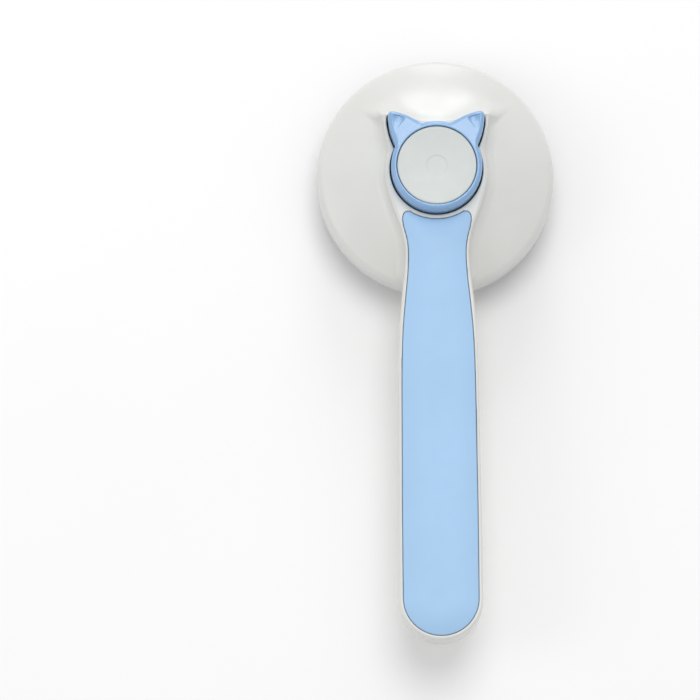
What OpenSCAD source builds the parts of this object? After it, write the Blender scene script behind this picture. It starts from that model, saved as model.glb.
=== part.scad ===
// Self-cleaning slicker brush: a round head full of bent steel pins on a long handle.
// Pressing the cat-ear button pushes the slotted face plate out along the pins, which
// strips the loose hair off them, and a coil spring brings plate and button back.
// X runs across the brush, +Y points from the handle to the head, and the pins point to -Z.
// The origin lies under the middle of the brush's box, level with the pin tips.

/* [Overall] */
// Length from the end of the handle to the far edge of the head
brush_l = 214; // [208:1:225]
// Diameter of the round head
head_d = 85; // [85:1:92]

/* [Pins and slots] */
// Number of pin rows, one in each slot
row_count = 16; // [10:2:16]
// Distance between two rows
row_pitch = 4.4; // [4.4:0.1:4.6]
// Distance between two pins of one row
pin_pitch = 4.1; // [4:0.05:4.4]
// Diameter of the pin wire
pin_d = 0.66; // [0.5:0.02:0.7]
// How far the pins stand out of the face plate
pin_out = 8.5; // [8.3:0.1:9.5]
// Lean of a pin's shank, away from the handle, in degrees
pin_lean = 19; // [12:1:20]
// How far the bent tip turns back past upright, in degrees
tip_back = 8; // [0:1:15]
// Height of a pin's knee above its tip
knee_h = 3.5; // [3:0.1:4]
// Width of the slots in the face plate
slot_w = 1.8; // [1.6:0.1:1.9]
// Radius of the circle on which the slots end
slot_circle_r = 37.5; // [30:0.5:37.5]

/* [Head] */
// Thickness of the face plate's slotted skin
face_t = 1.6; // [1.4:0.1:1.8]
// Height of the face plate's outer edge
face_edge_h = 3.5; // [3.2:0.1:3.6]
// Thickness of the moulded shells
wall = 1.8; // [1.6:0.1:2.2]
// Height of the pin tips below the shoulder where the head starts to dome
shoulder_z = 19.5; // [18.5:0.5:20.5]
// Rise of the dome above that shoulder
dome_rise = 10; // [8:0.5:11]
// Length of the slope that rises from the dome to the button between its ears
hood_l = 9; // [6:0.5:10]

/* [Handle] */
// Height of the flat strip under the handle
handle_low_z = 18; // [17:0.5:18]
// Height of the joint between the two handle halves
split_z = 24.5; // [24:0.5:25]
// Height of the white rim round the grip
rim_z = 32.2; // [32:0.1:33]
// Radius of the handle's round end
end_r = 15; // [14.5:0.1:15.5]
// Depth of the pocket that the grip lies in
grip_depth = 1.8; // [1.5:0.1:2]
// How far the crowned grip stands above the rim
grip_crown = 1.6; // [1:0.1:1.8]

/* [Button] */
// Height of the button's top at rest
button_z = 39; // [38.5:0.5:40]
// Radius of the button's blue ring
button_r = 16.35; // [16.2:0.05:16.8]
// Radius of the thumb disc
thumb_r = 14.25; // [14:0.05:14.3]
// Depth of the thumb disc's dish
thumb_dish = 0.7; // [0.4:0.1:1.3]
// Clearance round the button in the shell
button_gap = 0.5; // [0.45:0.05:0.7]
// Travel of the button and the face plate
travel = 8; // [6:0.5:8]

/* [Spring] */
// Wire diameter of the return spring
spring_d = 0.9; // [0.7:0.1:1]
// Mean radius of the return spring's coils
spring_r = 5; // [4.8:0.1:5.2]
// Number of turns
spring_turns = 6.5; // [5:0.5:7]

/* [Hidden] */
$fn = 64;
head_r = head_d / 2;
head_y = brush_l / 2 - head_r;
end_y = head_r - brush_l;

// Levels, counted up from the pin tips
face_z = pin_out;
face_top_z = face_z + face_t;
edge_top_z = face_z + face_edge_h;
shell_low_z = edge_top_z + 0.1;
carrier_z = edge_top_z + 0.3;
carrier_t = 2.2;
head_layer = 0.5;
backing_z = carrier_z + carrier_t + head_layer;
backing_t = 1.5;
backing_top_z = backing_z + backing_t;
cap_low_z = 26;
cap_floor_z = 31.6;
cap_floor_top_z = cap_floor_z + 1.6;
ring_round = 1.5;
ear_step = 0.4;
ear_dip = 1;
grip_z = rim_z - grip_depth;
rim_w = 1.5;
handle_wall = 2.4;

// Head
edge_round = 1.6;
shell_in_r = head_r - wall;
carrier_r = shell_in_r - 0.5;
dome_r = (head_r * head_r + dome_rise * dome_rise) / (2 * dome_rise);
well_r = button_r + button_gap;
hood_r = 18.6;
hood_angle = 64;

// Posts of the face plate stand on the ribs between the slots, between two pins
post_x = 2 * row_pitch;
post_y = 1.5 * pin_pitch;
post_r = 1.6;
slide_gap = 0.08;
boss_r = 3.2;
post_top_z = backing_top_z + travel + 0.4;
cap_screw_z = post_top_z + 2.4;
cap_hole_r = 1.1;
cap_sink_r = 2.1;
carrier_screw_x = 5 * row_pitch;
carrier_screw_y = 3.5 * pin_pitch;
screw_hole_r = 1.15;
carrier_pilot_r = 1.1;

// Pegs of the cap and of the backing plate that the spring sits round
seat_r = spring_r - spring_d / 2 - 0.3;
seat_h = 2;

// Pins
pin_r = pin_d / 2;
bend_r = 1;
far_end_gap = 3.5;
near_end_gap = 7.7;

// Handle screws, their bosses and the depth of their counterbores
handle_screw_ys = [-64, -148];
screw_seat_z = 20.6;
counterbore_r = 2.6;
clearance_r = 1.4;
handle_pilot_r = 1.25;

// Half outline of the button housing and the handle, from between the ears down
// to the round end: half width, and distance from the button's axis
housing_side = [
    [2, 18.6], [6, 18.8], [10.5, 20.5], [14.5, 22.1], [17.2, 22.2], [18.7, 20.6],
    [18.8, 16.5], [18, 11], [17.4, 7], [18.1, 2.5], [18.4, -2], [17.7, -7], [15.3, -15],
    [12.7, -22], [11.4, -29], [11.7, -37]
];
handle_side = [
    [11.7, -37], [12.9, -47], [13.8, -59], [14.3, -75], [14.5, -100], [14.8, -125],
    [end_r, end_y + end_r]
];
// Outline of one ear of the button, outside the ring, and of the hollow in it
ear_side = [
    [14.2, 6.5], [15.5, 9.5], [16.7, 13.3], [17.3, 17.6], [17, 19.5], [15.3, 20],
    [11.2, 18.8], [7.4, 16.9], [5, 15.2]
];
inner_ear = [[15.7, 18.4], [12.3, 17.6], [14.8, 14.2]];
// Half outline of the grip: from its rounded upper corner down to the round end
grip_side = [
    [11.5, -15.9], [12.3, -17.9], [11.9, -21], [10.7, -26], [10.3, -31], [10.6, -38], [11.6, -48],
    [12.6, -60], [13.1, -75], [13.3, -100], [13.5, -125], [end_r - rim_w, end_y + end_r]
];
grip_top_r = 18.3;

function row_name(i) = str("pin_row_", i < 10 ? "0" : "", i);
function row_x(i) = (i - (row_count + 1) / 2) * row_pitch;
function slot_half(x) = sqrt(slot_circle_r * slot_circle_r - x * x);
// Feet of the pins in the row at x, all on one square grid
function pin_feet(x) = [
    for (k = [-10 : 10])
        let (y = k * pin_pitch)
        if (y < slot_half(x) - far_end_gap && y > near_end_gap - slot_half(x)) y
];

// A smooth curve through the points, with the first and last repeated as its ends
function between(a, b, c, d, t) = 0.5 * (
    2 * b + (c - a) * t + (2 * a - 5 * b + 4 * c - d) * t * t + (3 * b - a - 3 * c + d) * t * t * t
);
function smooth(p, steps) = [
    for (i = [0 : len(p) - 2]) for (k = [0 : steps - 1])
        between(p[max(i - 1, 0)], p[i], p[i + 1], p[min(i + 2, len(p) - 1)], k / steps)
];
function mirrored(p) = [for (i = [len(p) - 1 : -1 : 0]) [-p[i][0], p[i][1]]];
function shifted(p, d) = [for (q = p) [q[0] + d, q[1]]];
// Moves each point of an open curve to its right by d
function beside(p, d) = [
    for (i = [0 : len(p) - 1])
        let (t = p[min(i + 1, len(p) - 1)] - p[max(i - 1, 0)])
        p[i] + d * [t[1], -t[0]] / norm(t)
];
function arc(r, y, from, to, steps) = [
    for (k = [0 : steps]) let (a = from + (to - from) * k / steps) [r * cos(a), y + r * sin(a)]
];

// Everything on the head is drawn round the button's axis
module on_head() {
    translate([0, head_y, 0]) children();
}

module both_sides() {
    children();
    mirror([1, 0, 0]) children();
}

module four_ways(x, y) {
    for (sx = [-1, 1]) for (sy = [-1, 1]) translate([sx * x, sy * y, 0]) children();
}

module slab(z0, z1) {
    translate([0, 0, z0]) linear_extrude(z1 - z0) children();
}

module rod(r, z0, z1) {
    translate([0, 0, z0]) cylinder(r = r, h = z1 - z0);
}

// Housing and handle in one outline, for the part of it over the head
module housing_2d() {
    side = smooth(concat(housing_side, [handle_side[1]]), 3);
    polygon(concat(side, mirrored(side)));
}

// The handle inside its outline by d, from y_from down to the round end
module handle_2d(d, y_from) {
    side = [for (q = shifted(smooth(handle_side, 3), -d)) if (q[1] < y_from) q];
    top = [side[0][0], y_from];
    right = concat([top], side, arc(end_r - d, end_y + end_r, 0, -84, 7));
    polygon(concat(right, [[0, end_y + d]], mirrored(right)));
}

// The grip inside its outline by d; its upper edge runs concentric with the button
module grip_2d(d) {
    top_r = grip_top_r + d;
    corner_x = grip_side[0][0] - d - 1.7;
    top = arc(top_r, 0, -86, -acos(corner_x / top_r), 5);
    side = [for (q = shifted(smooth(grip_side, 3), -d)) if (q[1] < top[5][1] - 0.2) q];
    bottom = arc(end_r - rim_w - d, end_y + end_r, 0, -84, 7);
    right = concat(top, side, bottom);
    polygon(concat(right, [[0, end_y + rim_w + d]], mirrored(right)));
}

module ear_2d(d) {
    polygon(beside(smooth(ear_side, 3), d));
}

module dome_profile(r, low, shoulder, rise, radius) {
    drop = radius - sqrt(radius * radius - r * r);
    curve = [
        for (k = [0 : 12])
            let (x = (r - edge_round) * (1 - k / 12))
            [x, shoulder + rise - radius + sqrt(radius * radius - x * x)]
    ];
    polygon(concat([[0, low], [r, low], [r, shoulder + rise - drop - edge_round]], curve));
}

module head_solid() {
    rotate_extrude() dome_profile(head_r, shell_low_z, shoulder_z, dome_rise, dome_r);
}

// Swells up from the dome between the ears, steepest at the button
module hood() {
    foot_r = hood_r + hood_l;
    foot_z = shoulder_z + dome_rise - dome_r + sqrt(dome_r * dome_r - foot_r * foot_r) - 0.3;
    slope = [
        for (k = [0 : 5])
            let (t = k / 5)
            [hood_r + hood_l * t, foot_z + (rim_z - foot_z) * (1 - t) * (1 - t)]
    ];
    rotate([0, 0, 90 - hood_angle / 2]) rotate_extrude(angle = hood_angle)
        polygon(concat([[hood_r - 1, shoulder_z], [hood_r - 1, rim_z]], slope, [[foot_r, shoulder_z]]));
}

module head_hollow() {
    rotate_extrude()
        dome_profile(shell_in_r, shell_low_z - 1, shoulder_z - wall, dome_rise, dome_r);
}

module back_shell() {
    color("whitesmoke") on_head() {
        difference() {
            union() {
                head_solid();
                hood();
                intersection() {
                    slab(shoulder_z - 1, rim_z) housing_2d();
                    rod(head_r - 0.3, 0, button_z);
                }
                slab(split_z, rim_z - 1.6) handle_2d(0, -34);
                slab(rim_z - 1.6, rim_z) handle_2d(0.8, -34);
            }
            head_hollow();
            rod(well_r, shoulder_z, button_z);
            both_sides() slab(shoulder_z, button_z) ear_2d(button_gap);
            slab(grip_z, button_z) grip_2d(-0.1);
            slab(split_z - 1, grip_z - 1.3) handle_2d(handle_wall, -48);
        }
        four_ways(carrier_screw_x, carrier_screw_y) difference() {
            rod(boss_r, backing_top_z, shoulder_z + 4.9);
            rod(carrier_pilot_r, backing_top_z - 1, shoulder_z + 3);
        }
        for (y = handle_screw_ys) translate([0, y, 0]) difference() {
            rod(boss_r, split_z, grip_z - 1);
            rod(handle_pilot_r, split_z - 1, grip_z - 1.2);
        }
    }
}

module handle_underside() {
    top = split_z - 0.05;
    color("white") on_head() difference() {
        union() {
            difference() {
                union() {
                    slab(handle_low_z + 3.5, top) handle_2d(0, -40);
                    slab(handle_low_z + 1.5, handle_low_z + 3.5) handle_2d(1.2, -40);
                    slab(handle_low_z, handle_low_z + 1.5) handle_2d(3.6, -40);
                }
                slab(handle_low_z + 2, split_z) handle_2d(handle_wall, -48);
            }
            for (y = handle_screw_ys) translate([0, y, 0])
                rod(counterbore_r + 1.6, handle_low_z + 1, top);
        }
        rod(head_r + 0.05, 0, split_z);
        for (y = handle_screw_ys) translate([0, y, 0]) {
            rod(counterbore_r, 0, screw_seat_z);
            rod(clearance_r, 0, split_z);
        }
    }
}

// A long pillow in four steps, lying in the shell's pocket
module grip_inlay() {
    color("lightskyblue") on_head() {
        slab(grip_z, rim_z - 0.1) grip_2d(0);
        slab(grip_z, rim_z + grip_crown / 3) grip_2d(0.7);
        slab(grip_z, rim_z + grip_crown * 2 / 3) grip_2d(2.6);
        slab(grip_z, rim_z + grip_crown) grip_2d(5);
    }
}

// A pan-head screw, head up, with a cross recess half as deep as its head
module screw(head_r, head_h, shank_r, shank_l) {
    cross_w = 0.5;
    difference() {
        rod(head_r, 0, head_h);
        for (a = [0, 90]) rotate([0, 0, a]) translate([0, 0, head_h])
            cube([head_r, cross_w, head_h], center = true);
    }
    rod(shank_r, -shank_l, 0.01);
}

module handle_screws() {
    color("silver") on_head()
        for (y = handle_screw_ys) translate([0, y, screw_seat_z])
            rotate([180, 0, 0]) screw(2.4, 1.4, 1.2, 8);
}

// One disc with a hole for each pin, and holes for the posts and screws
module pin_carrier() {
    color("lightgray") on_head() slab(carrier_z, carrier_z + carrier_t) difference() {
        circle(carrier_r);
        for (i = [1 : row_count]) for (y = pin_feet(row_x(i))) translate([row_x(i), y])
            circle(pin_r + 0.01, $fn = 16);
        four_ways(post_x, post_y) circle(post_r + slide_gap);
        four_ways(carrier_screw_x, carrier_screw_y) circle(screw_hole_r);
    }
}

// Closes the pins' heads in, and carries the spring's seat
module pin_backing_plate() {
    color("gainsboro") on_head() difference() {
        union() {
            rod(carrier_r, backing_z, backing_top_z);
            rod(seat_r, backing_top_z - 0.5, backing_top_z + seat_h);
            difference() {
                rod(carrier_r, carrier_z + carrier_t, backing_z);
                rod(slot_circle_r + 0.5, 0, backing_z);
            }
        }
        four_ways(post_x, post_y) rod(post_r + slide_gap, 0, button_z);
        four_ways(carrier_screw_x, carrier_screw_y) rod(screw_hole_r, 0, button_z);
    }
}

module carrier_screws() {
    color("silver") on_head() four_ways(carrier_screw_x, carrier_screw_y)
        translate([0, 0, carrier_z]) rotate([180, 0, 0]) screw(1.7, 1.1, 1.05, 8);
}

// Bends the wire by turn towards +Y, and draws its children onwards from the bend's end
module elbow(turn) {
    translate([0, bend_r, 0]) {
        rotate([0, 90, 0]) rotate([0, 0, -90])
            rotate_extrude(angle = turn) translate([bend_r, 0]) circle(pin_r, $fn = 16);
        rotate([turn, 0, 0]) translate([0, -bend_r, 0]) children();
    }
}

// Round wire: a flat head, an upright foot in the carrier, a leaning shank and a tip
// that turns back, so that its end just reaches the ground
module pin() {
    lean_z = carrier_z - 0.2;
    turn = pin_lean + tip_back;
    corner = bend_r * tan(turn / 2);
    shank_l = (lean_z - bend_r * sin(pin_lean) - knee_h) / cos(pin_lean) - corner;
    tip_l = (knee_h - pin_r * sin(tip_back)) / cos(tip_back) - corner;
    rod(2 * pin_r, carrier_z + carrier_t, backing_z);
    rod(pin_r, lean_z, carrier_z + carrier_t);
    translate([0, 0, lean_z]) elbow(pin_lean) {
        rod(pin_r, -shank_l, 0);
        translate([0, 0, -shank_l]) mirror([0, 1, 0]) elbow(turn) rod(pin_r, -tip_l, 0);
    }
}

module pin_row(i) {
    x = row_x(i);
    color("silver") on_head() for (y = pin_feet(x)) translate([x, y, 0]) pin();
}

// A wire swept along a helix, one ring of points after another
module return_spring() {
    sides = 8;
    rings = round(spring_turns * 16);
    low = backing_top_z + spring_d / 2;
    high = cap_floor_z - spring_d / 2;
    wire = spring_d / 2 - 0.02;
    points = [
        for (k = [0 : rings]) for (j = [0 : sides - 1])
            let (a = 360 * spring_turns * k / rings, b = 360 * j / sides, r = spring_r + wire * cos(b))
            [r * cos(a), r * sin(a), low + (high - low) * k / rings + wire * sin(b)]
    ];
    quads = [
        for (k = [0 : rings - 1]) for (j = [0 : sides - 1])
            let (n = (j + 1) % sides, a = k * sides, b = a + sides)
            [a + j, a + n, b + n, b + j]
    ];
    ends = [[for (j = [sides - 1 : -1 : 0]) j], [for (j = [0 : sides - 1]) rings * sides + j]];
    color("silver") on_head() polyhedron(points, concat(quads, ends));
}

module button_cap() {
    color("lightskyblue") on_head() difference() {
        union() {
            difference() {
                union() {
                    rotate_extrude() polygon([
                        [0, cap_low_z], [button_r, cap_low_z], [button_r, button_z - ring_round],
                        [button_r - ring_round / 3, button_z - ring_round / 3],
                        [button_r - ring_round, button_z], [0, button_z]
                    ]);
                    both_sides() slab(cap_floor_z, button_z - ear_step) ear_2d(0);
                }
                rod(thumb_r + 0.1, cap_floor_top_z, button_z + 1);
                rod(thumb_r - 0.2, 0, cap_floor_z);
                both_sides() slab(button_z - ear_dip, button_z) polygon(inner_ear);
            }
            four_ways(post_x, post_y) rod(boss_r, post_top_z, cap_floor_z + 0.5);
            rod(seat_r, cap_floor_z - seat_h, cap_floor_z + 0.5);
        }
        four_ways(post_x, post_y) {
            rod(cap_hole_r, 0, button_z);
            rod(cap_sink_r, cap_screw_z, button_z);
        }
    }
}

module cap_screws() {
    color("silver") on_head() four_ways(post_x, post_y)
        translate([0, 0, cap_screw_z]) screw(1.9, 1.3, 1, 8);
}

// A lid with a dished top and a skirt that snaps into the ring
module thumb_disc() {
    rim = button_z - 0.5;
    in_r = thumb_r - 1;
    hollow_z = rim - thumb_dish - 1.6;
    bowl = [for (k = [0 : 8]) [in_r * (1 - k / 8), rim - thumb_dish * (1 - pow(1 - k / 8, 2))]];
    color("whitesmoke") on_head() rotate_extrude() polygon(concat(
        [[0, hollow_z], [thumb_r - 1.4, hollow_z], [thumb_r - 1.4, cap_floor_top_z],
         [thumb_r, cap_floor_top_z], [thumb_r, rim - 0.2], [thumb_r - 0.2, rim]],
        bowl
    ));
}

module slots_2d() {
    for (i = [1 : row_count]) translate([row_x(i), 0]) {
        half = slot_half(row_x(i)) - slot_w / 2;
        square([slot_w, 2 * half], center = true);
        for (s = [-1, 1]) translate([0, s * half]) circle(slot_w / 2);
    }
}

module face_plate() {
    color("gainsboro") on_head() {
        difference() {
            rotate_extrude() polygon([
                [0, face_z], [head_r - edge_round, face_z], [head_r - 0.5, face_z + 0.5],
                [head_r, face_z + edge_round], [head_r, edge_top_z], [shell_in_r, edge_top_z],
                [shell_in_r, face_top_z], [0, face_top_z]
            ]);
            slab(0, button_z) slots_2d();
        }
        four_ways(post_x, post_y) difference() {
            rod(post_r, face_top_z - 0.1, post_top_z);
            rod(1.02, post_top_z - 7, button_z);
        }
    }
}

back_shell();
handle_underside();
grip_inlay();
handle_screws();
pin_carrier();
pin_backing_plate();
carrier_screws();
return_spring();
button_cap();
thumb_disc();
cap_screws();
face_plate();
for (i = [1 : row_count]) pin_row(i);
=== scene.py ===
"""The looks of the self-cleaning slicker brush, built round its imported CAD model.

Shapes are worked out in millimetres round the button's axis: x across the brush, y towards
the far edge of the head, z up from the pin tips. Meshes are made in metres, in the CAD frame.
"""

import math

import bpy
import numpy as np
from mathutils import Matrix, Vector
from mathutils.geometry import delaunay_2d_cdt


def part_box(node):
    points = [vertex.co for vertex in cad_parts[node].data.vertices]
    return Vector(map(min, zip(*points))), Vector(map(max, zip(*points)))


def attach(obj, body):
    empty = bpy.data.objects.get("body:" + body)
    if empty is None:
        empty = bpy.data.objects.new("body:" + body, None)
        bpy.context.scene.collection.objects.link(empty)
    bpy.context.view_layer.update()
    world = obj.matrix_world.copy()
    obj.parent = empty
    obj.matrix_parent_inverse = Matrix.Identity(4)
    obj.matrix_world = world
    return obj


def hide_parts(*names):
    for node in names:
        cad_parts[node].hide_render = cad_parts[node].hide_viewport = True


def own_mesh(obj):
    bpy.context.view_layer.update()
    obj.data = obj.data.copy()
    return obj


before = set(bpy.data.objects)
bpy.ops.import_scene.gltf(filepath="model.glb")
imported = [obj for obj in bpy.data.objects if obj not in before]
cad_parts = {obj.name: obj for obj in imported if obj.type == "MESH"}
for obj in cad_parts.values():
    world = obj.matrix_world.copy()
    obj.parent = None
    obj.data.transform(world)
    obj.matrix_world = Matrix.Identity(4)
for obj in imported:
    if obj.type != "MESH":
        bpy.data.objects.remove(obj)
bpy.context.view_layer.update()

MM = 0.001


# ---------------------------------------------------------------- sizes, from the CAD frame

def box_mm(node):
    low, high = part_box(node)
    return np.array(low) / MM, np.array(high) / MM


plate_low, plate_high = box_mm("face_plate")
shell_low, shell_high = box_mm("back_shell")
under_low, under_high = box_mm("handle_underside")
grip_low, grip_high = box_mm("grip_inlay")
cap_low, cap_high = box_mm("button_cap")
disc_low, disc_high = box_mm("thumb_disc")
carrier_low, carrier_high = box_mm("pin_carrier")
backing_low, backing_high = box_mm("pin_backing_plate")
spring_low, spring_high = box_mm("return_spring")
row_low, row_high = box_mm("pin_row_08")

HEAD_Y = (plate_low[1] + plate_high[1]) / 2
HEAD_R = (plate_high[0] - plate_low[0]) / 2
END_Y = shell_low[1] - HEAD_Y
FACE_Z = plate_low[2]
SHELL_Z = shell_low[2]
RIM_Z = shell_high[2]
SPLIT_Z = under_high[2]
UNDER_Z = under_low[2]
GRIP_Z = grip_low[2]
CROWN = grip_high[2] - RIM_Z
CAP_Z = cap_high[2]
RING_R = 16.35
DISC_R = (disc_high[0] - disc_low[0]) / 2
DISC_Z = disc_low[2]
BACKING_Z = backing_high[2] - 2

WALL = 1.8
BUTTON_GAP = 0.45
WELL_R = RING_R + BUTTON_GAP
DOME_RISE = 10
NECK_Z = 18.6
DOME_TOP_Z = 29.5
DOME_R = (HEAD_R ** 2 + DOME_RISE ** 2) / (2 * DOME_RISE)
END_R = 15
GRIP_EDGE = 1.5
CAP_FLOOR_Z = 31.6
SKIRT_Z = cap_low[2] + 1.1
EDGE_TOP_Z = SHELL_Z - 0.1

ROWS = 16
ROW_PITCH = 4.4
PIN_PITCH = 4.1
PIN_R = 0.33
PIN_LEAN = math.radians(19)
TIP_BACK = math.radians(8)
KNEE_H = 3.5
BEND_R = 1.0
SLOT_W = 1.8
SLOT_CIRCLE_R = 37.5
POST = (2 * ROW_PITCH, 1.5 * PIN_PITCH)
CARRIER_SCREW = (5 * ROW_PITCH, 3.5 * PIN_PITCH)
HANDLE_SCREW_YS = (-64, -148)

BOSS_R = 3.2
BOSS_TOP_Z = 24.4
PILOT_R = 1.1
PILOT_TOP_Z = 22.5
HANDLE_PILOT_R = 1.25
SEAT_DEPTH = 2.6
CAP_SEAT_Z = cap_low[2] + 2.4
HANDLE_WALL = 2.4
ROOM_Y = -48
UNDERSIDE_Y = -35

# Half outlines, as half width and distance from the button's axis
HOUSING_SIDE = [
    (0, 18.6), (2, 18.6), (6, 18.8), (10.5, 20.5), (14.5, 22.1), (17.2, 22.2), (18.7, 20.6),
    (18.8, 16.5), (18, 11), (17.4, 7), (18.1, 2.5), (18.4, -2), (17.7, -7), (15.3, -15), (12.7, -22),
    (11.4, -29), (11.7, -37), (12.9, -47), (13.8, -59), (14.3, -75), (14.5, -100),
    (14.8, -125), (END_R, END_Y + END_R),
]
EAR_SIDE = [
    (14.2, 6.5), (15.5, 9.5), (16.7, 13.3), (17.3, 17.6), (17.0, 19.5), (15.3, 20.0),
    (11.2, 18.8), (7.4, 16.9), (5, 15.2),
]
INNER_EAR = [(15.9, 18.5), (14.2, 18.4), (11.4, 17.4), (12.6, 15.4), (14.8, 13.2)]
GRIP_SIDE = [
    (9.7, -15.45), (11.5, -15.9), (12.3, -17.9), (11.9, -21), (10.7, -26), (10.3, -31),
    (10.6, -38), (11.6, -48), (12.6, -60), (13.1, -75), (13.3, -100), (13.5, -125),
    (END_R - GRIP_EDGE, END_Y + END_R),
]
GRIP_TOP_R = 18.3

# Where the camera stands, in metres, and how wide its view is at the brush
CAMERA_AWAY = 4.0
FRAME_WIDTH = 0.25155
TILT_DOWN, TILT_LEFT, ROLL = math.radians(11.4), math.radians(1.15), math.radians(0.55)
AIM = (-0.0313, 0.00195, 0.014)

# How bright the sky and the three lights are
SKY = 0.64
KEY = 0.31
BACK = 0.07
FILL = 0.06

# The mesh is finer where it bends by more than this from one side of a face to the other
BEND = math.radians(14)
REFINE_PASSES = 2


# ---------------------------------------------------------------- curves in the plane

def smooth(points, steps):
    """A smooth curve through the points, with its ends repeated."""
    p = np.array(points, float)
    p = np.vstack([p[:1], p, p[-1:]])
    t = (np.arange(steps) / steps)[:, None]
    made = [
        0.5 * (2 * b + (c - a) * t + (2 * a - 5 * b + 4 * c - d) * t ** 2
               + (3 * b - a - 3 * c + d) * t ** 3)
        for a, b, c, d in zip(p[:-3], p[1:-2], p[2:-1], p[3:])
    ]
    return np.vstack([*made, p[-1:]])


def arc(radius, centre_y, start, stop, steps):
    """Points round (0, centre_y), from angle start to angle stop in degrees."""
    a = np.radians(np.linspace(start, stop, steps + 1))
    return np.stack([radius * np.cos(a), centre_y + radius * np.sin(a)], 1)


def housing_line():
    return np.vstack([smooth(HOUSING_SIDE, 6), arc(END_R, END_Y + END_R, 0, -90, 24)[1:]])


def grip_line():
    top = arc(GRIP_TOP_R, 0, -90, -57.8, 8)
    end = arc(END_R - GRIP_EDGE, END_Y + END_R, 0, -90, 24)
    return np.vstack([top[:-1], smooth(GRIP_SIDE, 6), end[1:]])


def closed(points):
    return np.vstack([points, points[:1]])


def distance_2d(line, x, y):
    """Signed distance to an outline, negative inside. The line is closed, or starts and ends
    on the axis x = 0 and stands for the right half, with x never below 0."""
    best = np.full(np.broadcast(x, y).shape, 1e9)
    inside = np.zeros(best.shape, bool)
    for (ax, ay), (bx, by) in zip(line[:-1], line[1:]):
        ex, ey = bx - ax, by - ay
        length = ex * ex + ey * ey
        if length < 1e-12:
            continue
        t = np.clip(((x - ax) * ex + (y - ay) * ey) / length, 0, 1)
        best = np.minimum(best, (x - ax - t * ex) ** 2 + (y - ay - t * ey) ** 2)
        if ey:
            inside ^= ((ay > y) != (by > y)) & (x < ax + (y - ay) * ex / ey)
    return np.where(inside, -1, 1) * np.sqrt(best)


# ---------------------------------------------------------------- solids as distance fields

def both(a, b, r):
    """Where a and b are both negative, with the outer corner rounded to r."""
    return np.minimum(-r, np.maximum(a, b)) + np.hypot(np.maximum(a + r, 0), np.maximum(b + r, 0))


def either(a, b, r):
    """Where a or b is negative, with a fillet of radius r between them."""
    return np.maximum(r, np.minimum(a, b)) - np.hypot(np.maximum(r - a, 0), np.maximum(r - b, 0))


def cut(a, b, r):
    """a without b, with the rim rounded to r."""
    return both(a, -b, r)


def step_up(value, low, high):
    """Rises smoothly from 0 at low to 1 at high."""
    t = np.clip((value - low) / (high - low), 0, 1)
    return t * t * (3 - 2 * t)


def between(z, low, high):
    return np.maximum(low - z, z - high)


def four_ways(x, y, place):
    """Distance to the nearest of four axes, one in each quarter; x is never below 0."""
    return np.hypot(x - place[0], np.abs(y) - place[1])


def screw_axes(x, y):
    return np.minimum(np.hypot(x, y - HANDLE_SCREW_YS[0]), np.hypot(x, y - HANDLE_SCREW_YS[1]))


def hood(x, y, dome_z):
    """The slope between the ears: how far the dome swells up towards the button, steepest at
    the button, and how far the top of the housing gives way to it."""
    share = step_up(y - x, -4, 6) * step_up(y, 11, 17)
    half_width, shortest, spare = 22, 7, 12
    reach = shortest + spare * np.maximum(1 - (x / half_width) ** 2, 0)
    start_y = WELL_R + 3.5 * step_up(x, 0, 20)
    away = np.clip((y - start_y) / reach, 0, 1)
    rise = (RIM_Z - dome_z) * (1 - away) ** 3
    sunk = 2.5
    return share * rise, share * (RIM_Z - dome_z - rise + sunk)


def shell_outside(x, y, z, rho, side):
    """The domed head and the bar of the handle, blended into one full solid."""
    dome_z = DOME_TOP_Z - DOME_R + np.sqrt(DOME_R ** 2 - np.minimum(rho, HEAD_R) ** 2)
    swell, drop = hood(x, y, dome_z)
    sphere = np.sqrt(rho ** 2 + (z - DOME_TOP_Z + DOME_R) ** 2) - DOME_R - swell
    head = both(both(rho - HEAD_R, sphere, 2.0), SHELL_Z - z, 0.45)
    over_head = both(rho - HEAD_R + 0.2, NECK_Z - z, 0.3)
    bar = both(side, z - RIM_Z + drop, 0.95 + 0.35 * step_up(y, -30, -15))
    bar = both(bar, np.minimum(SPLIT_Z + 0.1 - z, over_head), 0.3)
    solid = either(head, bar, 0.3 + 3.3 * step_up(HEAD_R - rho, 0.2, 3.5))
    return both(solid, z - RIM_Z, 0.6)


def shell_rooms(x, y, z, rho, side):
    """The hollow under the dome and the one in the handle."""
    inner_sphere = np.sqrt(rho ** 2 + (z - DOME_TOP_Z + WALL + DOME_R) ** 2) - DOME_R
    under_dome = both(rho - HEAD_R + WALL, inner_sphere, 1.5)
    floor_and_roof = between(z, SPLIT_Z - 2, GRIP_Z - 1.3)
    in_handle = both(both(side + HANDLE_WALL, y - ROOM_Y, 1), floor_and_roof, 0.6)
    return under_dome, in_handle


def shell_bosses(x, y, z):
    """The bosses that the screws bite into, and the pilot holes in them."""
    boss = four_ways(x, y, CARRIER_SCREW)
    handle_boss = screw_axes(x, y)
    bosses = np.minimum(
        np.maximum(boss - BOSS_R, between(z, BACKING_Z, BOSS_TOP_Z)),
        np.maximum(handle_boss - BOSS_R, between(z, SPLIT_Z + 0.1, GRIP_Z - 1)),
    )
    pilots = np.minimum(
        np.maximum(boss - PILOT_R, z - PILOT_TOP_Z),
        np.maximum(handle_boss - HANDLE_PILOT_R, z - GRIP_Z + 1.2),
    )
    return bosses, pilots


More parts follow.
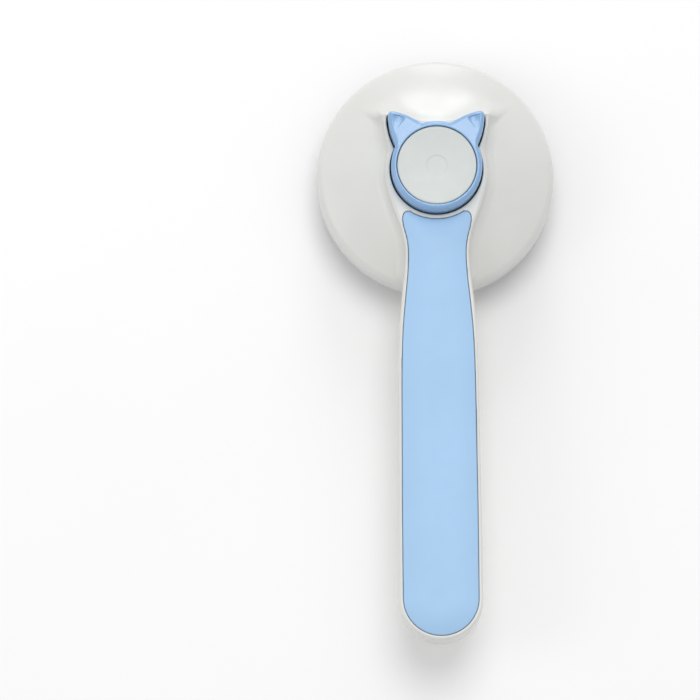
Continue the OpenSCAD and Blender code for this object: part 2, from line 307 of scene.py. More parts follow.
def back_shell_field(x, y, z):
    x = np.abs(x)
    rho = np.hypot(x, y)
    side = distance_2d(LINES["housing"], x, y)
    grip = distance_2d(LINES["grip"], x, y)
    well = np.minimum(rho - WELL_R, distance_2d(LINES["ear"], x, y) - BUTTON_GAP)
    under_dome, in_handle = shell_rooms(x, y, z, rho, side)
    bosses, pilots = shell_bosses(x, y, z)
    solid = shell_outside(x, y, z, rho, side)
    solid = cut(solid, under_dome, 0.4)
    # The well's rim is rounder where the slope between the ears runs up to it
    solid = cut(solid, well, 0.4 + 0.5 * step_up(y, 11, 17))
    solid = cut(solid, both(grip - 0.1, GRIP_Z - z, 0.2), 0.25)
    solid = cut(solid, in_handle, 0.2)
    return cut(np.minimum(solid, bosses), pilots, 0.1)


def underside_field(x, y, z):
    x = np.abs(x)
    rho = np.hypot(x, y)
    side = distance_2d(LINES["housing"], x, y)
    solid = both(side, UNDER_Z - z, 3.4)
    solid = both(solid, z - SPLIT_Z, 0.3)
    solid = both(solid, HEAD_R + 0.06 - rho, 0.2)
    solid = np.maximum(solid, y - UNDERSIDE_Y)
    room = both(both(side + HANDLE_WALL, UNDER_Z + 2 - z, 2), y - ROOM_Y, 1)
    solid = cut(solid, room, 0.2)
    tower_r, seat_r, hole_r = 4.2, 2.6, 1.4
    screw = screw_axes(x, y)
    solid = np.minimum(solid, np.maximum(screw - tower_r, between(z, UNDER_Z + 1, SPLIT_Z)))
    seat = np.maximum(screw - seat_r, z - UNDER_Z - SEAT_DEPTH)
    solid = cut(solid, seat, 0.35)
    return cut(solid, screw - hole_r, 0.1)


def grip_field(x, y, z):
    x = np.abs(x)
    side = distance_2d(LINES["grip"], x, y) + 0.08
    half = np.interp(-y, -GRIP_CURVE[:, 1], GRIP_CURVE[:, 0])
    end_y = END_Y + END_R
    from_side = np.where(y > end_y, half - x, END_R - GRIP_EDGE - np.hypot(x, y - end_y))
    from_top = np.hypot(x, y) - GRIP_TOP_R
    crown_width = 10.2
    crown = pillow(from_side / crown_width) * pillow(from_top / crown_width)
    top = RIM_Z - 0.05 + (CROWN + 0.05) * crown
    return both(both(side, z - top, 0.4), GRIP_Z - z, 0.15)


def pillow(t):
    """Rises steeply from 0 and levels off at 1."""
    return 1 - (1 - np.clip(t, 0, 1)) ** 2.2


def button_cap_field(x, y, z):
    x = np.abs(x)
    rho = np.hypot(x, y)
    outline = either(rho - RING_R, distance_2d(LINES["ear"], x, y), 0.8)
    top = CAP_Z - 0.3 * step_up(rho, 16, 20)
    plate = both(both(outline, z - top, 1.5), CAP_FLOOR_Z - z, 0.3)
    skirt = both(both(rho - RING_R, z - CAP_FLOOR_Z - 1, 0.3), SKIRT_Z - z, 0.3)
    solid = np.minimum(plate, skirt)
    # The hollow of the ear is deepest under its upper edge and runs out to the other sides
    inner = distance_2d(LINES["inner_ear"], x, y)
    depth = 0.17 * (y - 14.2) * step_up(-x, -16.6, -13.5) * step_up(x, 10.4, 13)
    solid = cut(solid, both(inner, top - depth - z, 0.3), 0.25)
    solid = cut(solid, both(rho - DISC_R - 0.2, DISC_Z - z, 0.2), 0.4)
    solid = cut(solid, both(rho - DISC_R + 0.2, z - CAP_FLOOR_Z, 0.3), 0.3)
    post = four_ways(x, y, POST)
    spring_seat_r, screw_seat_r = 4.25, 2.1
    bosses = np.maximum(post - BOSS_R, between(z, cap_low[2], CAP_FLOOR_Z + 0.5))
    spring_seat = np.maximum(rho - spring_seat_r, between(z, CAP_FLOOR_Z - 2, CAP_FLOOR_Z + 0.5))
    solid = np.minimum(solid, np.minimum(bosses, spring_seat))
    solid = cut(solid, post - PILOT_R, 0.1)
    return cut(solid, np.maximum(post - screw_seat_r, CAP_SEAT_Z - z), 0.15)


GRIP_CURVE = smooth(GRIP_SIDE[1:], 6)
LINES = {
    "housing": housing_line(),
    "grip": grip_line(),
    "ear": closed(smooth(EAR_SIDE, 12)),
    "inner_ear": closed(smooth(closed(np.array(INNER_EAR)), 5)),
}


# ---------------------------------------------------------------- meshes from the fields

def surface_net(field, low, step):
    """Vertices and quads of the surface where the sampled field passes through 0."""
    inside = field < 0
    n = np.array(field.shape)
    corners = [(i, j, k) for i in (0, 1) for j in (0, 1) for k in (0, 1)]
    count = sum(inside[i:n[0] - 1 + i, j:n[1] - 1 + j, k:n[2] - 1 + k].astype(np.int8)
                for i, j, k in corners)
    cells = np.argwhere((count > 0) & (count < 8))
    index = np.full(n - 1, -1)
    index[tuple(cells.T)] = np.arange(len(cells))
    total, hits = np.zeros((len(cells), 3)), np.zeros((len(cells), 1))
    for a in corners:
        for axis in range(3):
            if a[axis]:
                continue
            b = np.array(a)
            b[axis] = 1
            fa, fb = field[tuple((cells + a).T)], field[tuple((cells + b).T)]
            crossed = (fa < 0) != (fb < 0)
            t = np.where(crossed, fa / np.where(crossed, fa - fb, 1), 0)
            point = np.array(a, float) + t[:, None] * (b - a)
            total += np.where(crossed[:, None], point, 0)
            hits += crossed[:, None]
    points = low + step * (cells + total / hits)
    quads = []
    for axis in range(3):
        b, c = (axis + 1) % 3, (axis + 2) % 3
        near, far = [slice(None)] * 3, [slice(None)] * 3
        near[axis], far[axis] = slice(None, -1), slice(1, None)
        crossed = inside[tuple(near)] != inside[tuple(far)]
        at = np.argwhere(crossed)
        at = at[(at[:, b] > 0) & (at[:, c] > 0) & (at[:, b] < n[b] - 1) & (at[:, c] < n[c] - 1)]
        ring = []
        for db, dc in ((-1, -1), (0, -1), (0, 0), (-1, 0)):
            cell = at.copy()
            cell[:, b] += db
            cell[:, c] += dc
            ring.append(index[tuple(cell.T)])
        ring = np.stack(ring, 1)
        outward = inside[tuple(at.T)]
        quads.append(np.where(outward[:, None], ring, ring[:, ::-1]))
    return points, np.vstack(quads)


def gradient(field, p, reach=0.002):
    """The field at each point and its slope there."""
    x, y, z = p.T
    here = field(x, y, z)
    beyond = (field(x + reach, y, z), field(x, y + reach, z), field(x, y, z + reach))
    return here, np.stack([(there - here) / reach for there in beyond], 1)


def settle(field, p, step):
    """Moves points onto the surface along the field's slope, and gives the normals there."""
    here, slope = gradient(field, p)
    size = np.maximum((slope ** 2).sum(1), 0.05)
    move = -(here / size)[:, None] * slope
    length = np.linalg.norm(move, axis=1, keepdims=True)
    move *= np.minimum(1, 0.5 * step / np.maximum(length, 1e-9))
    return p + move, slope / np.sqrt(size)[:, None]


def relax(p, faces, normal, share):
    """Evens out the points along the surface."""
    start = np.array([v for face in faces for v in face])
    stop = np.array([v for face in faces for v in face[1:] + face[:1]])
    total, count = np.zeros_like(p), np.zeros(len(p))
    for a, b in ((start, stop), (stop, start)):
        for k in range(3):
            total[:, k] += np.bincount(a, p[b, k], len(p))
        count += np.bincount(a, minlength=len(p))
    move = total / count[:, None] - p
    move -= (move * normal).sum(1, keepdims=True) * normal
    return p + share * move


def refine(p, faces, normal, bend):
    """Splits each quad in four whose normals differ by more than bend. The faces beside it
    become fans round their middle, so the mesh stays closed."""
    level = math.cos(bend)
    points, halves, made = list(p), {}, []

    def bent(face):
        a, b, c, d = (normal[v] for v in face)
        return a @ c < level or b @ d < level

    def edge(a, b):
        return (a, b) if a < b else (b, a)

    split = [len(face) == 4 and bent(face) for face in faces]
    for face, is_split in zip(faces, split):
        if is_split:
            for a, b in zip(face, face[1:] + face[:1]):
                if edge(a, b) not in halves:
                    halves[edge(a, b)] = len(points)
                    points.append((p[a] + p[b]) / 2)
    for face, is_split in zip(faces, split):
        ring = []
        for a, b in zip(face, face[1:] + face[:1]):
            ring.append(a)
            if edge(a, b) in halves:
                ring.append(halves[edge(a, b)])
        if not is_split and len(ring) < 5:
            made.append(ring)
            continue
        middle = len(points)
        points.append(p[face].mean(0))
        if is_split:
            made += [[ring[k], ring[k + 1], middle, ring[k - 1]] for k in (0, 2, 4, 6)]
        else:
            made += [[a, b, middle] for a, b in zip(ring, ring[1:] + ring[:1])]
    return np.array(points), made


def field_piece(name, field, low, high, step):
    """One closed mesh piece with the shape of the field, inside the box from low to high.
    The mesh is finer where the surface bends."""
    low = np.array(low, float) - 1.5 * step
    counts = np.ceil((np.array(high) + 1.5 * step - low) / step).astype(int) + 1
    x, y, z = (low[k] + step * np.arange(counts[k]) for k in range(3))
    values = field(x[:, None, None], y[None, :, None], z[None, None, :])
    points, quads = surface_net(values, low, step)
    faces = quads.tolist()
    for _ in range(2):
        points, normal = settle(field, points, step)
        points = relax(points, faces, normal, 0.6)
    points, normal = settle(field, points, step)
    for _ in range(REFINE_PASSES):
        step /= 2
        points, faces = refine(points, faces, normal, BEND)
        points, normal = settle(field, points, step)
        points = relax(points, faces, normal, 0.4)
        points, normal = settle(field, points, step)
    points, normal = settle(field, points, step)
    return make_piece(name, points, faces, normal)


def make_piece(name, points, faces, normals=None):
    """A mesh object from points in millimetres round the button's axis."""
    mesh = bpy.data.meshes.new(name)
    at = (np.asarray(points, float) + (0, HEAD_Y, 0)) * MM
    if isinstance(faces, np.ndarray):
        faces = faces.tolist()
    mesh.from_pydata(at.tolist(), [], faces)
    mesh.validate()
    mesh.shade_smooth()
    if normals is not None:
        mesh.normals_split_custom_set_from_vertices(normals.tolist())
    piece = bpy.data.objects.new(name, mesh)
    bpy.context.scene.collection.objects.link(piece)
    return piece


def lathe(profile, steps, centre=(0, 0)):
    """Points and quads of a profile of (radius, height) turned round an upright axis. The
    profile runs with the solid on its left, and a radius of 0 is one shared point."""
    points, rings = [], []
    for r, z in profile:
        if r < 1e-6:
            rings.append([len(points)] * steps)
            points.append((centre[0], centre[1], z))
            continue
        rings.append(list(range(len(points), len(points) + steps)))
        for k in range(steps):
            a = 2 * math.pi * k / steps
            points.append((centre[0] + r * math.cos(a), centre[1] + r * math.sin(a), z))
    faces = []
    for low, high in zip(rings[:-1], rings[1:]):
        for k in range(steps):
            n = (k + 1) % steps
            face = [low[k], low[n], high[n], high[k]]
            face = [v for i, v in enumerate(face) if v not in face[:i]]
            if len(face) > 2:
                faces.append(face)
    return points, faces


def join(parts):
    """Several (points, faces) as one."""
    points, faces = [], []
    for p, f in parts:
        shift = len(points)
        points.extend(tuple(q) for q in p)
        faces.extend([v + shift for v in face] for face in f)
    return points, faces


def rounded(corners, radius, steps=4):
    """A line of (r, z) corners with each inner one rounded to its radius."""
    corners = [np.array(c, float) for c in corners]
    radii = [radius] * len(corners) if np.isscalar(radius) else radius
    made = [corners[0]]
    for a, b, c, r in zip(corners[:-2], corners[1:-1], corners[2:], radii[1:-1]):
        u, v = (a - b) / np.linalg.norm(a - b), (c - b) / np.linalg.norm(c - b)
        if r <= 0:
            made.append(b)
            continue
        half = math.acos(np.clip(u @ v, -1, 1)) / 2
        reach = r / math.tan(half)
        middle = b + (u + v) / np.linalg.norm(u + v) * (r / math.sin(half))
        start, stop = b + u * reach - middle, b + v * reach - middle
        turn = math.pi - 2 * half
        for k in range(steps + 1):
            t = k / steps
            point = (math.sin((1 - t) * turn) * start + math.sin(t * turn) * stop) / math.sin(turn)
            made.append(middle + point)
    return made + [corners[-1]]


def sharp_by_angle(piece, degrees=32):
    piece.data.set_sharp_from_angle(angle=math.radians(degrees))
    return piece


# ---------------------------------------------------------------- materials

def node_of(tree, kind, **values):
    made = tree.nodes.new(kind)
    for name, value in values.items():
        if hasattr(made, name):
            setattr(made, name, value)
        else:
            made.inputs[name.replace("_", " ")].default_value = value
    return made


def noise(tree, coords, scale, detail=3.0, rough=0.5):
    made = node_of(tree, "ShaderNodeTexNoise", Scale=scale, Detail=detail, Roughness=rough)
    tree.links.new(coords, made.inputs["Vector"])
    return made.outputs["Fac"]


def spread(tree, value, low, high, from_low=0.3, from_high=0.7):
    """Maps a noise value onto the range from low to high."""
    made = node_of(tree, "ShaderNodeMapRange")
    made.inputs["From Min"].default_value = from_low
    made.inputs["From Max"].default_value = from_high
    made.inputs["To Min"].default_value = low
    made.inputs["To Max"].default_value = high
    tree.links.new(value, made.inputs["Value"])
    return made.outputs["Result"]


def new_material(name):
    material = bpy.data.materials.new(name)
    material.use_nodes = True
    tree = material.node_tree
    shader = tree.nodes["Principled BSDF"]
    coords = node_of(tree, "ShaderNodeTexCoord").outputs["Object"]
    return material, tree, shader, coords


def tint(tree, value, dark, light, socket):
    """Drives a colour between dark and light by value."""
    mix = node_of(tree, "ShaderNodeMix", data_type="RGBA")
    mix.inputs[6].default_value = (*dark, 1)
    mix.inputs[7].default_value = (*light, 1)
    tree.links.new(value, mix.inputs["Factor"])
    tree.links.new(mix.outputs[2], socket)


def bump(tree, shader, heights, depth):
    """Adds surface relief; heights are (value, strength)."""
    normal = None
    for value, strength in heights:
        made = node_of(tree, "ShaderNodeBump", Strength=strength, Distance=depth)
        tree.links.new(value, made.inputs["Height"])
        if normal is not None:
            tree.links.new(normal, made.inputs["Normal"])
        normal = made.outputs["Normal"]
    tree.links.new(normal, shader.inputs["Normal"])


def plastic(name, colour, roughness, grain=0.12, grain_scale=2600, coat=0.0, subsurface=0.0):
    """Moulded plastic: slight clouding of the colour, an uneven sheen and a fine spark grain."""
    material, tree, shader, coords = new_material(name)
    cloud = spread(tree, noise(tree, coords, 38, 4), 0, 1)
    light = tuple(min(1, c * 1.02) for c in colour)
    dark = tuple(c * 0.965 for c in colour)
    tint(tree, cloud, dark, light, shader.inputs["Base Color"])
    sheen = spread(tree, noise(tree, coords, 240, 3), roughness - 0.05, roughness + 0.05)
    tree.links.new(sheen, shader.inputs["Roughness"])
    fine = noise(tree, coords, grain_scale, 2)
    flow = noise(tree, coords, 55, 2)
    bump(tree, shader, [(fine, grain), (flow, 0.25)], 0.0001)
    shader.inputs["Coat Weight"].default_value = coat
    shader.inputs["Coat Roughness"].default_value = 0.18
    shader.inputs["Subsurface Weight"].default_value = subsurface
    shader.inputs["Subsurface Radius"].default_value = (0.002, 0.002, 0.002)
    return material


def steel(name, colour, roughness, streak_axis, streak=0.2):
    """Drawn or plated steel: streaks along one axis and small spots of a duller finish."""
    material, tree, shader, coords = new_material(name)
    stretch = node_of(tree, "ShaderNodeMapping")
    scale = [1400.0, 1400.0, 1400.0]
    scale[streak_axis] = 60.0
    stretch.inputs["Scale"].default_value = scale
    tree.links.new(coords, stretch.inputs["Vector"])
    lines = noise(tree, stretch.outputs["Vector"], 1.0, 3)
    dark = tuple(c * 0.82 for c in colour)
    tint(tree, spread(tree, lines, 0, 1), dark, colour, shader.inputs["Base Color"])
    spots = spread(tree, noise(tree, coords, 500, 3), roughness - 0.06, roughness + 0.09)
    tree.links.new(spots, shader.inputs["Roughness"])
    bump(tree, shader, [(lines, streak)], 0.00003)
    shader.inputs["Metallic"].default_value = 1.0
    return material


def finish(piece, material, slot, body, *nodes):
    """Gives a new piece its material and its body, and hides the CAD nodes that it stands in for. The
    slot argument is not used.
    """
    piece.data.materials.clear()
    piece.data.materials.append(material)
    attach(piece, body)
    if nodes:
        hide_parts(*nodes)
    return piece


def repaint(node, material):
    """Gives a CAD node a better material in its own slots."""
    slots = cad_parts[node].material_slots
    for slot in slots:
        slot.material = material
    if not slots:
        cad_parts[node].data.materials.append(material)


# ---------------------------------------------------------------- the pieces

def thumb_disc():
    """A lid with a dished top, a rounded rim and a faint round mark in its middle."""
    rim_z = disc_high[2]
    dish = 0.7
    rim_r = DISC_R - 0.9
    mark_r, mark_depth, mark_edge = 3.65, 0.07, 0.12

    def height(r):
        in_mark = np.clip((mark_r + mark_edge - r) / (2 * mark_edge), 0, 1)
        return rim_z - dish * (1 - (r / rim_r) ** 2) - mark_depth * in_mark

    radii = [*np.linspace(rim_r, 0, 40), mark_r + mark_edge, mark_r - mark_edge]
    bowl = [(r, height(r)) for r in sorted(radii, reverse=True)]
    under_z = rim_z - dish - 1.6
    outside = rounded(
        [(0, under_z), (DISC_R - 1.4, under_z), (DISC_R - 1.4, DISC_Z), (DISC_R, DISC_Z),
         (DISC_R, rim_z), (rim_r, rim_z), (rim_r - 1, rim_z - 2 * dish / rim_r)],
        [0, 0.2, 0.2, 0.25, 0.4, 0.4, 0],
    )[:-1]
    profile = [tuple(p) for p in outside] + [b for b in bowl if b[0] < rim_r - 0.25]
    return sharp_by_angle(make_piece("thumb_disc_dished", *lathe(profile, 160)), 50)


def slot_half(x):
    return math.sqrt(SLOT_CIRCLE_R ** 2 - x * x)


def row_x(i):
    return (i - (ROWS + 1) / 2) * ROW_PITCH


def slot_outline(i, grow, steps=8):
    """One slot's outline, anticlockwise, widened by grow all round."""
    r = SLOT_W / 2 + grow
    half = slot_half(row_x(i)) - SLOT_W / 2
    right = np.radians(np.linspace(0, 180, steps + 1))
    top = [(row_x(i) + r * math.cos(a), half + r * math.sin(a)) for a in right]
    bottom = [(row_x(i) - r * math.cos(a), -half - r * math.sin(a)) for a in right]
    return top + bottom


def inside_slot(point, i, grow):
    half = slot_half(row_x(i)) - SLOT_W / 2
    past_end = max(abs(point.y) - half, 0)
    return math.hypot(point.x - row_x(i), past_end) < SLOT_W / 2 + grow


def flat_with_slots(radius, grow, z, steps, up):
    """A triangulated disc at height z with the slots left out. Returns its points, its faces,
    and the point numbers of its rim and of each slot's edge."""
    rim = [(radius * math.cos(a), radius * math.sin(a))
           for a in np.arange(steps) * 2 * math.pi / steps]
    loops = [rim] + [slot_outline(i, grow) for i in range(1, ROWS + 1)]
    flat, edges, rings = [], [], []
    for loop in loops:
        ring = list(range(len(flat), len(flat) + len(loop)))
        flat.extend(loop)
        edges.extend(zip(ring, ring[1:] + ring[:1]))
        rings.append(ring)
    verts, _, faces, origin, _, _ = delaunay_2d_cdt(
        [Vector(p) for p in flat], edges, [], 1, 1e-5)
    number = {i: k for k, source in enumerate(origin) for i in source}
    kept = []
    for face in faces:
        middle = sum((verts[v] for v in face), Vector((0, 0))) / len(face)
        if not any(inside_slot(middle, i, grow) for i in range(1, ROWS + 1)):
            kept.append(list(face) if up else list(face)[::-1])
    points = [(v.x, v.y, z) for v in verts]
    return points, kept, [[number[i] for i in ring] for ring in rings]


def bridge(lower, upper):
    """Quads between two closed rings of point numbers, both anticlockwise from above, for a
    wall that faces outwards when lower is below upper."""
    n = len(lower)
    return [[lower[k], lower[(k + 1) % n], upper[(k + 1) % n], upper[k]] for k in range(n)]


def face_plate():
    """The slotted plate with softened slot edges, a rounded outer edge and four posts."""
    steps = 192
    soft = 0.28
    back_z = FACE_Z + 1.6
    inner_r = HEAD_R - WALL
    front_r = HEAD_R - 1.9
    points, faces, front = flat_with_slots(front_r, soft, FACE_Z, steps, up=False)
    shift = len(points)
    back_points, back_faces, back = flat_with_slots(inner_r, 0, back_z, steps, up=True)
    points += back_points
    faces += [[v + shift for v in face] for face in back_faces]
    back = [[v + shift for v in ring] for ring in back]

    for i in range(1, ROWS + 1):
        above = front[i]
        for k in (1, 2, 3, 4):
            a = math.radians(90 * k / 4)
            ring = list(range(len(points), len(points) + len(above)))
            z = FACE_Z + soft * (1 - math.cos(a))
            points += [(x, y, z) for x, y in slot_outline(i, soft * (1 - math.sin(a)))]
            faces += [face[::-1] for face in bridge(above, ring)]
            above = ring
        faces += [face[::-1] for face in bridge(above, back[i])]

    outer = rounded(
        [(front_r, FACE_Z), (HEAD_R, FACE_Z), (HEAD_R, EDGE_TOP_Z), (inner_r, EDGE_TOP_Z),
         (inner_r, back_z)],
        [0, 1.8, 0.3, 0.25, 0], steps=7,
    )
    below = front[0]
    for r, z in outer[1:-1]:
        if abs(r - front_r) + abs(z - FACE_Z) < 0.11:
            continue
        ring = list(range(len(points), len(points) + steps))
        points += [(r * math.cos(a), r * math.sin(a), z)
                   for a in np.arange(steps) * 2 * math.pi / steps]
        faces += bridge(below, ring)
        below = ring
    faces += bridge(below, back[0])

    posts = []
    for sx in (-1, 1):
        for sy in (-1, 1):
            profile = [(0, back_z - 0.2), (1.6, back_z - 0.2), (1.6, plate_high[2] - 0.2),
                       (1.4, plate_high[2]), (1.02, plate_high[2]),
                       (1.02, plate_high[2] - 7), (0, plate_high[2] - 7)]
            posts.append(lathe(profile, 24, (sx * POST[0], sy * POST[1])))
    return sharp_by_angle(make_piece("face_plate_slotted", *join([(points, faces), *posts])), 30)


def pin_feet(x):
    ys = [k * PIN_PITCH for k in range(-10, 11)]
    return [y for y in ys if 7.7 - slot_half(x) < y < slot_half(x) - 3.5]


def pin_path():
    """The wire's middle line and its heading at each point, in the plane of y and z."""
    top_z = row_high[2] - 0.5
    lean_z = carrier_low[2] - 0.2
    turn = PIN_LEAN + TIP_BACK
    corner = BEND_R * math.tan(turn / 2)
    shank = (lean_z - BEND_R * math.sin(PIN_LEAN) - KNEE_H) / math.cos(PIN_LEAN) - corner
    tip = (KNEE_H - PIN_R * math.sin(TIP_BACK)) / math.cos(TIP_BACK) - corner
    y, z, heading = 0.0, lean_z, 0.0
    path = [(0, top_z, 0), (0, lean_z, 0)]

    def bend(total, steps):
        nonlocal y, z, heading
        for _ in range(steps):
            part = total / steps
            chord = 2 * BEND_R * math.sin(abs(part) / 2)
            y += chord * math.sin(heading + part / 2)
            z -= chord * math.cos(heading + part / 2)
            heading += part
            path.append((y, z, heading))

    bend(PIN_LEAN, 3)
    y += shank * math.sin(heading)
    z -= shank * math.cos(heading)
    path.append((y, z, heading))
    bend(-turn, 6)
    y += tip * math.sin(heading)
    z -= tip * math.cos(heading)
    path.append((y, z, heading))
    return path


def pin_wire(sides=12):
    """One pin at the origin: a swept wire with a broken edge at its tip, and its flat head."""
    path = pin_path()
    y, z, heading = path[-1]
    back = 0.12
    path[-1] = (y - back * math.sin(heading), z + back * math.cos(heading), heading)
    rings = [(p, PIN_R) for p in path]
    rings.append(((y - 0.03 * math.sin(heading), z + 0.03 * math.cos(heading), heading), PIN_R - 0.05))
    rings.append(((y, z, heading), PIN_R - 0.12))
    points, faces = [], []
    for (py, pz, a), r in rings:
        for k in range(sides):
            b = 2 * math.pi * k / sides
            across, along = r * math.cos(b), r * math.sin(b)
            points.append((across, py + along * math.cos(a), pz + along * math.sin(a)))
    for k in range(len(rings) - 1):
        for j in range(sides):
            n = (j + 1) % sides
            a, b = k * sides, (k + 1) * sides
            faces.append([a + j, b + j, b + n, a + n])
    faces.append(list(range(sides)))
    faces.append([(len(rings) - 1) * sides + j for j in reversed(range(sides))])
    head_low, head_high = row_high[2] - 0.48, row_high[2] - 0.02
    head = lathe([(0, head_low), (2 * PIN_R, head_low), (2 * PIN_R, head_high), (0, head_high)],
                 sides)
    return join([(points, faces), head])


def pin_rows(material):
    points, faces = pin_wire()
    for i in range(1, ROWS + 1):
        node = f"pin_row_{i:02d}"
        x = row_x(i)
        wires = [([(px + x, py + y, pz) for px, py, pz in points], faces) for y in pin_feet(x)]
        piece = sharp_by_angle(make_piece(f"{node}_wires", *join(wires)), 40)
        finish(piece, material, "pin_steel", "handle", node)


def spring():
    """A coil with closed, ground ends: the turns lie together at both ends."""
    sides, per_turn = 12, 28
    wire, radius = 0.43, 5.0
    turns, end_turns = 7.5, 0.8
    low, high = spring_low[2] + wire, spring_high[2] - wire
    flat = 2 * wire * end_turns
    points, faces = [], []
    rings = int(turns * per_turn)
    for k in range(rings + 1):
        t = k / rings
        a = 2 * math.pi * turns * t
        done = t * turns
        lift = np.clip((done - end_turns) / (turns - 2 * end_turns), 0, 1)
        z = low + flat * min(done / end_turns, 1) + (high - low - 2 * flat) * lift
        z += flat * max((done - turns + end_turns) / end_turns, 0)
        for j in range(sides):
            b = 2 * math.pi * j / sides
            r = radius + wire * math.cos(b)
            points.append((r * math.cos(a), r * math.sin(a), z + wire * math.sin(b)))
    for k in range(rings):
        for j in range(sides):
            n = (j + 1) % sides
            a, b = k * sides, (k + 1) * sides
            faces.append([a + j, a + n, b + n, b + j])
    faces.append([j for j in reversed(range(sides))])
    faces.append([rings * sides + j for j in range(sides)])
    return sharp_by_angle(make_piece("return_spring_coil", points, faces), 50)


def screw_mesh(head_r, head_h, shank_r, shank_l, sides=40):
    """A pan-head screw standing head up at the origin, with a cross recess and a thread."""
    dome = rounded([(head_r, 0), (head_r, head_h * 0.95), (0, head_h)], [0, head_h * 0.6, 0], 5)
    recess_r, recess_d = head_r * 0.55, head_h * 0.55
    points, faces = [], []

    def ring(values):
        start = len(points)
        points.extend(values)
        return list(range(start, start + sides))

    def height(r):
        for (r0, z0), (r1, z1) in zip(dome[:-1], dome[1:]):
            if r1 <= r <= r0:
                return z0 + (z1 - z0) * (r0 - r) / max(r0 - r1, 1e-9)
        return head_h

    def cross(k, size):
        """Radius of the cross-shaped recess's edge in direction k."""
        a = 2 * math.pi * k / sides
        across = min(abs(math.cos(a)), abs(math.sin(a)))
        arm = 0.24 * size
        return min(size, arm / max(across, 1e-6))

    def around(r, z):
        return [(r * math.cos(2 * math.pi * k / sides), r * math.sin(2 * math.pi * k / sides), z)
                for k in range(sides)]

    def cross_ring(size, depth):
        made = []
        for k in range(sides):
            r = cross(k, size)
            a = 2 * math.pi * k / sides
            z = height(r) if depth is None else head_h - depth
            made.append((r * math.cos(a), r * math.sin(a), z))
        return made

    rings = []
    length = int(shank_l / 0.4)
    rings.append(ring(around(shank_r * 0.3, -shank_l)))
    for k in range(length):
        z = -shank_l + 0.3 + k * 0.4
        rings.append(ring(around(shank_r * (0.82 if k % 2 else 1.0), min(z, -0.1))))
    rings.append(ring(around(shank_r, -0.02)))
    rings.append(ring(around(head_r, 0)))
    rings += [ring(around(r, z)) for r, z in dome[1:-1]]
    rings.append(ring(cross_ring(recess_r * 1.12, None)))
    rings.append(ring(cross_ring(recess_r, 0.1)))
    rings.append(ring(cross_ring(recess_r * 0.7, recess_d)))
    for low, high in zip(rings[:-1], rings[1:]):
        faces += bridge(low, high)
    faces.append(rings[-1])
    faces.append(rings[0][::-1])
    return points, faces


def screws(name, places, seat_z, down, **size):
    """Equal screws at the given places; down means that the heads look towards the floor."""
    points, faces = screw_mesh(**size)
    turn = -1 if down else 1
    made = [([(px + x, turn * py + y, seat_z + turn * pz) for px, py, pz in points], faces)
            for x, y in places]
    return sharp_by_angle(make_piece(name, *join(made)), 35)


def quarters(place):
    return [(sx * place[0], sy * place[1]) for sx in (-1, 1) for sy in (-1, 1)]


# ---------------------------------------------------------------- the scene round it

def area_light(name, towards, away, size, level):
    """A round soft light, away from the brush in the direction towards. level is the light that
    it lends to the floor, where 1 turns a white floor white."""
    direction = Vector(towards).normalized()
    light = bpy.data.lights.new(name, "AREA")
    light.shape = "DISK"
    light.size = size
    light.energy = level * (math.pi * away) ** 2 / direction.z
    lamp = bpy.data.objects.new(name, light)
    lamp.location = Vector((0, 0.02, 0.02)) + away * direction
    lamp.rotation_euler = direction.to_track_quat("Z", "Y").to_euler()
    bpy.context.scene.collection.objects.link(lamp)


def studio():
    """A plain pale floor under the pins, a white sky and three soft lights."""
    world = bpy.data.worlds.new("studio")
    world.use_nodes = True
    world.node_tree.nodes["Background"].inputs["Color"].default_value = (1, 1, 1, 1)
    world.node_tree.nodes["Background"].inputs["Strength"].default_value = SKY
    bpy.context.scene.world = world
    bpy.context.scene.view_settings.view_transform = "Standard"
    mesh = bpy.data.meshes.new("floor")
    reach = 3.0
    mesh.from_pydata([(-reach, -reach, 0), (reach, -reach, 0), (reach, reach, 0),
                      (-reach, reach, 0)], [], [(0, 1, 2, 3)])
    floor = bpy.data.objects.new("floor", mesh)
    bpy.context.scene.collection.objects.link(floor)
    material, tree, shader, coords = new_material("pale_floor")
    tint(tree, spread(tree, noise(tree, coords, 6, 2), 0, 1), (0.93, 0.93, 0.93), (0.95, 0.95, 0.95),
         shader.inputs["Base Color"])
    shader.inputs["Roughness"].default_value = 0.95
    shader.inputs["Specular IOR Level"].default_value = 0.1
    mesh.materials.append(material)
    area_light("key", (0.05, 0.33, 0.94), 2.0, 1.2, KEY)
    area_light("back", (0.05, 0.95, 0.31), 1.8, 0.75, BACK)
    area_light("fill", (-0.8, -0.1, 0.6), 1.6, 0.8, FILL)


def camera():
    """Looks down on the back of the brush, tilted towards the handle's end and a little to the
    left, through a long lens."""
    view = bpy.data.cameras.new("camera")
    view.sensor_width = 36
    view.lens = 36 * CAMERA_AWAY / FRAME_WIDTH
    eye = bpy.data.objects.new("camera", view)
    bpy.context.scene.collection.objects.link(eye)
    back = Vector((-math.tan(TILT_LEFT), -math.tan(TILT_DOWN), 1)).normalized()
    across = Vector((math.sin(ROLL), math.cos(ROLL), 0)).cross(back).normalized()
    eye.location = Vector(AIM) + back * CAMERA_AWAY
    eye.rotation_euler = Matrix((across, back.cross(across), back)).transposed().to_euler()
    bpy.context.scene.camera = eye


camera()
studio()

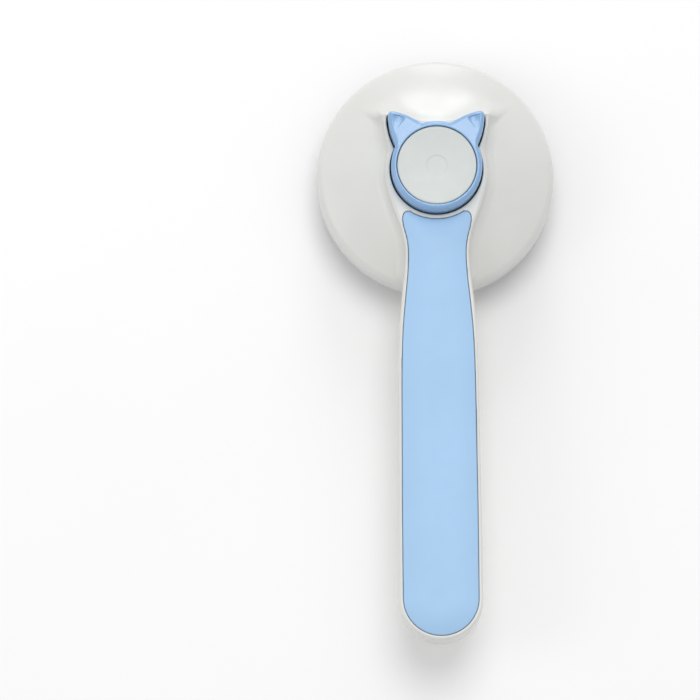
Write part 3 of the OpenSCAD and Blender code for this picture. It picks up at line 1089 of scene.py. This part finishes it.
white_shell = plastic("white_shell", (0.695, 0.70, 0.675), 0.34, coat=0.24, subsurface=0.04)
white_disc = plastic("white_disc", (0.585, 0.62, 0.605), 0.38)
plate_white = plastic("plate_plastic", (0.66, 0.66, 0.655), 0.40)
blue_grip = plastic("blue_grip", (0.375, 0.585, 0.84), 0.52, grain=0.3, grain_scale=3400)
blue_button = plastic("blue_button", (0.22, 0.405, 0.67), 0.30, coat=0.8)
inner_grey = plastic("inner_plastic", (0.20, 0.20, 0.205), 0.55)
pin_steel = steel("pin_steel", (0.62, 0.62, 0.63), 0.24, 2)
screw_steel = steel("screw_steel", (0.66, 0.66, 0.65), 0.30, 0)
spring_steel = steel("spring_steel", (0.55, 0.55, 0.57), 0.28, 2)

finish(field_piece("back_shell_moulded", back_shell_field, (-HEAD_R, END_Y, SHELL_Z),
                   (HEAD_R, HEAD_R, RIM_Z), 0.55),
       white_shell, "white_shell", "handle", "back_shell")
finish(field_piece("handle_underside_moulded", underside_field, (-END_R, END_Y, UNDER_Z),
                   (END_R, -35, SPLIT_Z), 0.5),
       white_shell, "white_shell", "handle", "handle_underside")
finish(field_piece("grip_inlay_crowned", grip_field, (-END_R, END_Y, GRIP_Z),
                   (END_R, -14, RIM_Z + CROWN), 0.45),
       blue_grip, "blue_grip", "handle", "grip_inlay")
finish(field_piece("button_cap_eared", button_cap_field, (-18.5, -RING_R, cap_low[2]),
                   (18.5, 22, CAP_Z), 0.36),
       blue_button, "blue_button", "button", "button_cap")
finish(thumb_disc(), white_disc, "white_disc", "button", "thumb_disc")
finish(face_plate(), plate_white, "plate_plastic", "button", "face_plate")
pin_rows(pin_steel)
coil = finish(spring(), spring_steel, "spring_steel", "handle", "return_spring")
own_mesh(coil)
finish(screws("handle_screws_cross", [(0, y) for y in HANDLE_SCREW_YS], UNDER_Z + SEAT_DEPTH,
              True, head_r=2.4, head_h=1.4, shank_r=1.2, shank_l=8),
       screw_steel, "screw_steel", "handle", "handle_screws")
finish(screws("carrier_screws_cross", quarters(CARRIER_SCREW), carrier_low[2], True,
              head_r=1.7, head_h=1.1, shank_r=1.05, shank_l=8),
       screw_steel, "screw_steel", "handle", "carrier_screws")
finish(screws("cap_screws_cross", quarters(POST), CAP_SEAT_Z, False,
              head_r=1.9, head_h=1.3, shank_r=1.0, shank_l=8),
       screw_steel, "screw_steel", "button", "cap_screws")
for inner in ("pin_carrier", "pin_backing_plate"):
    repaint(inner, inner_grey)
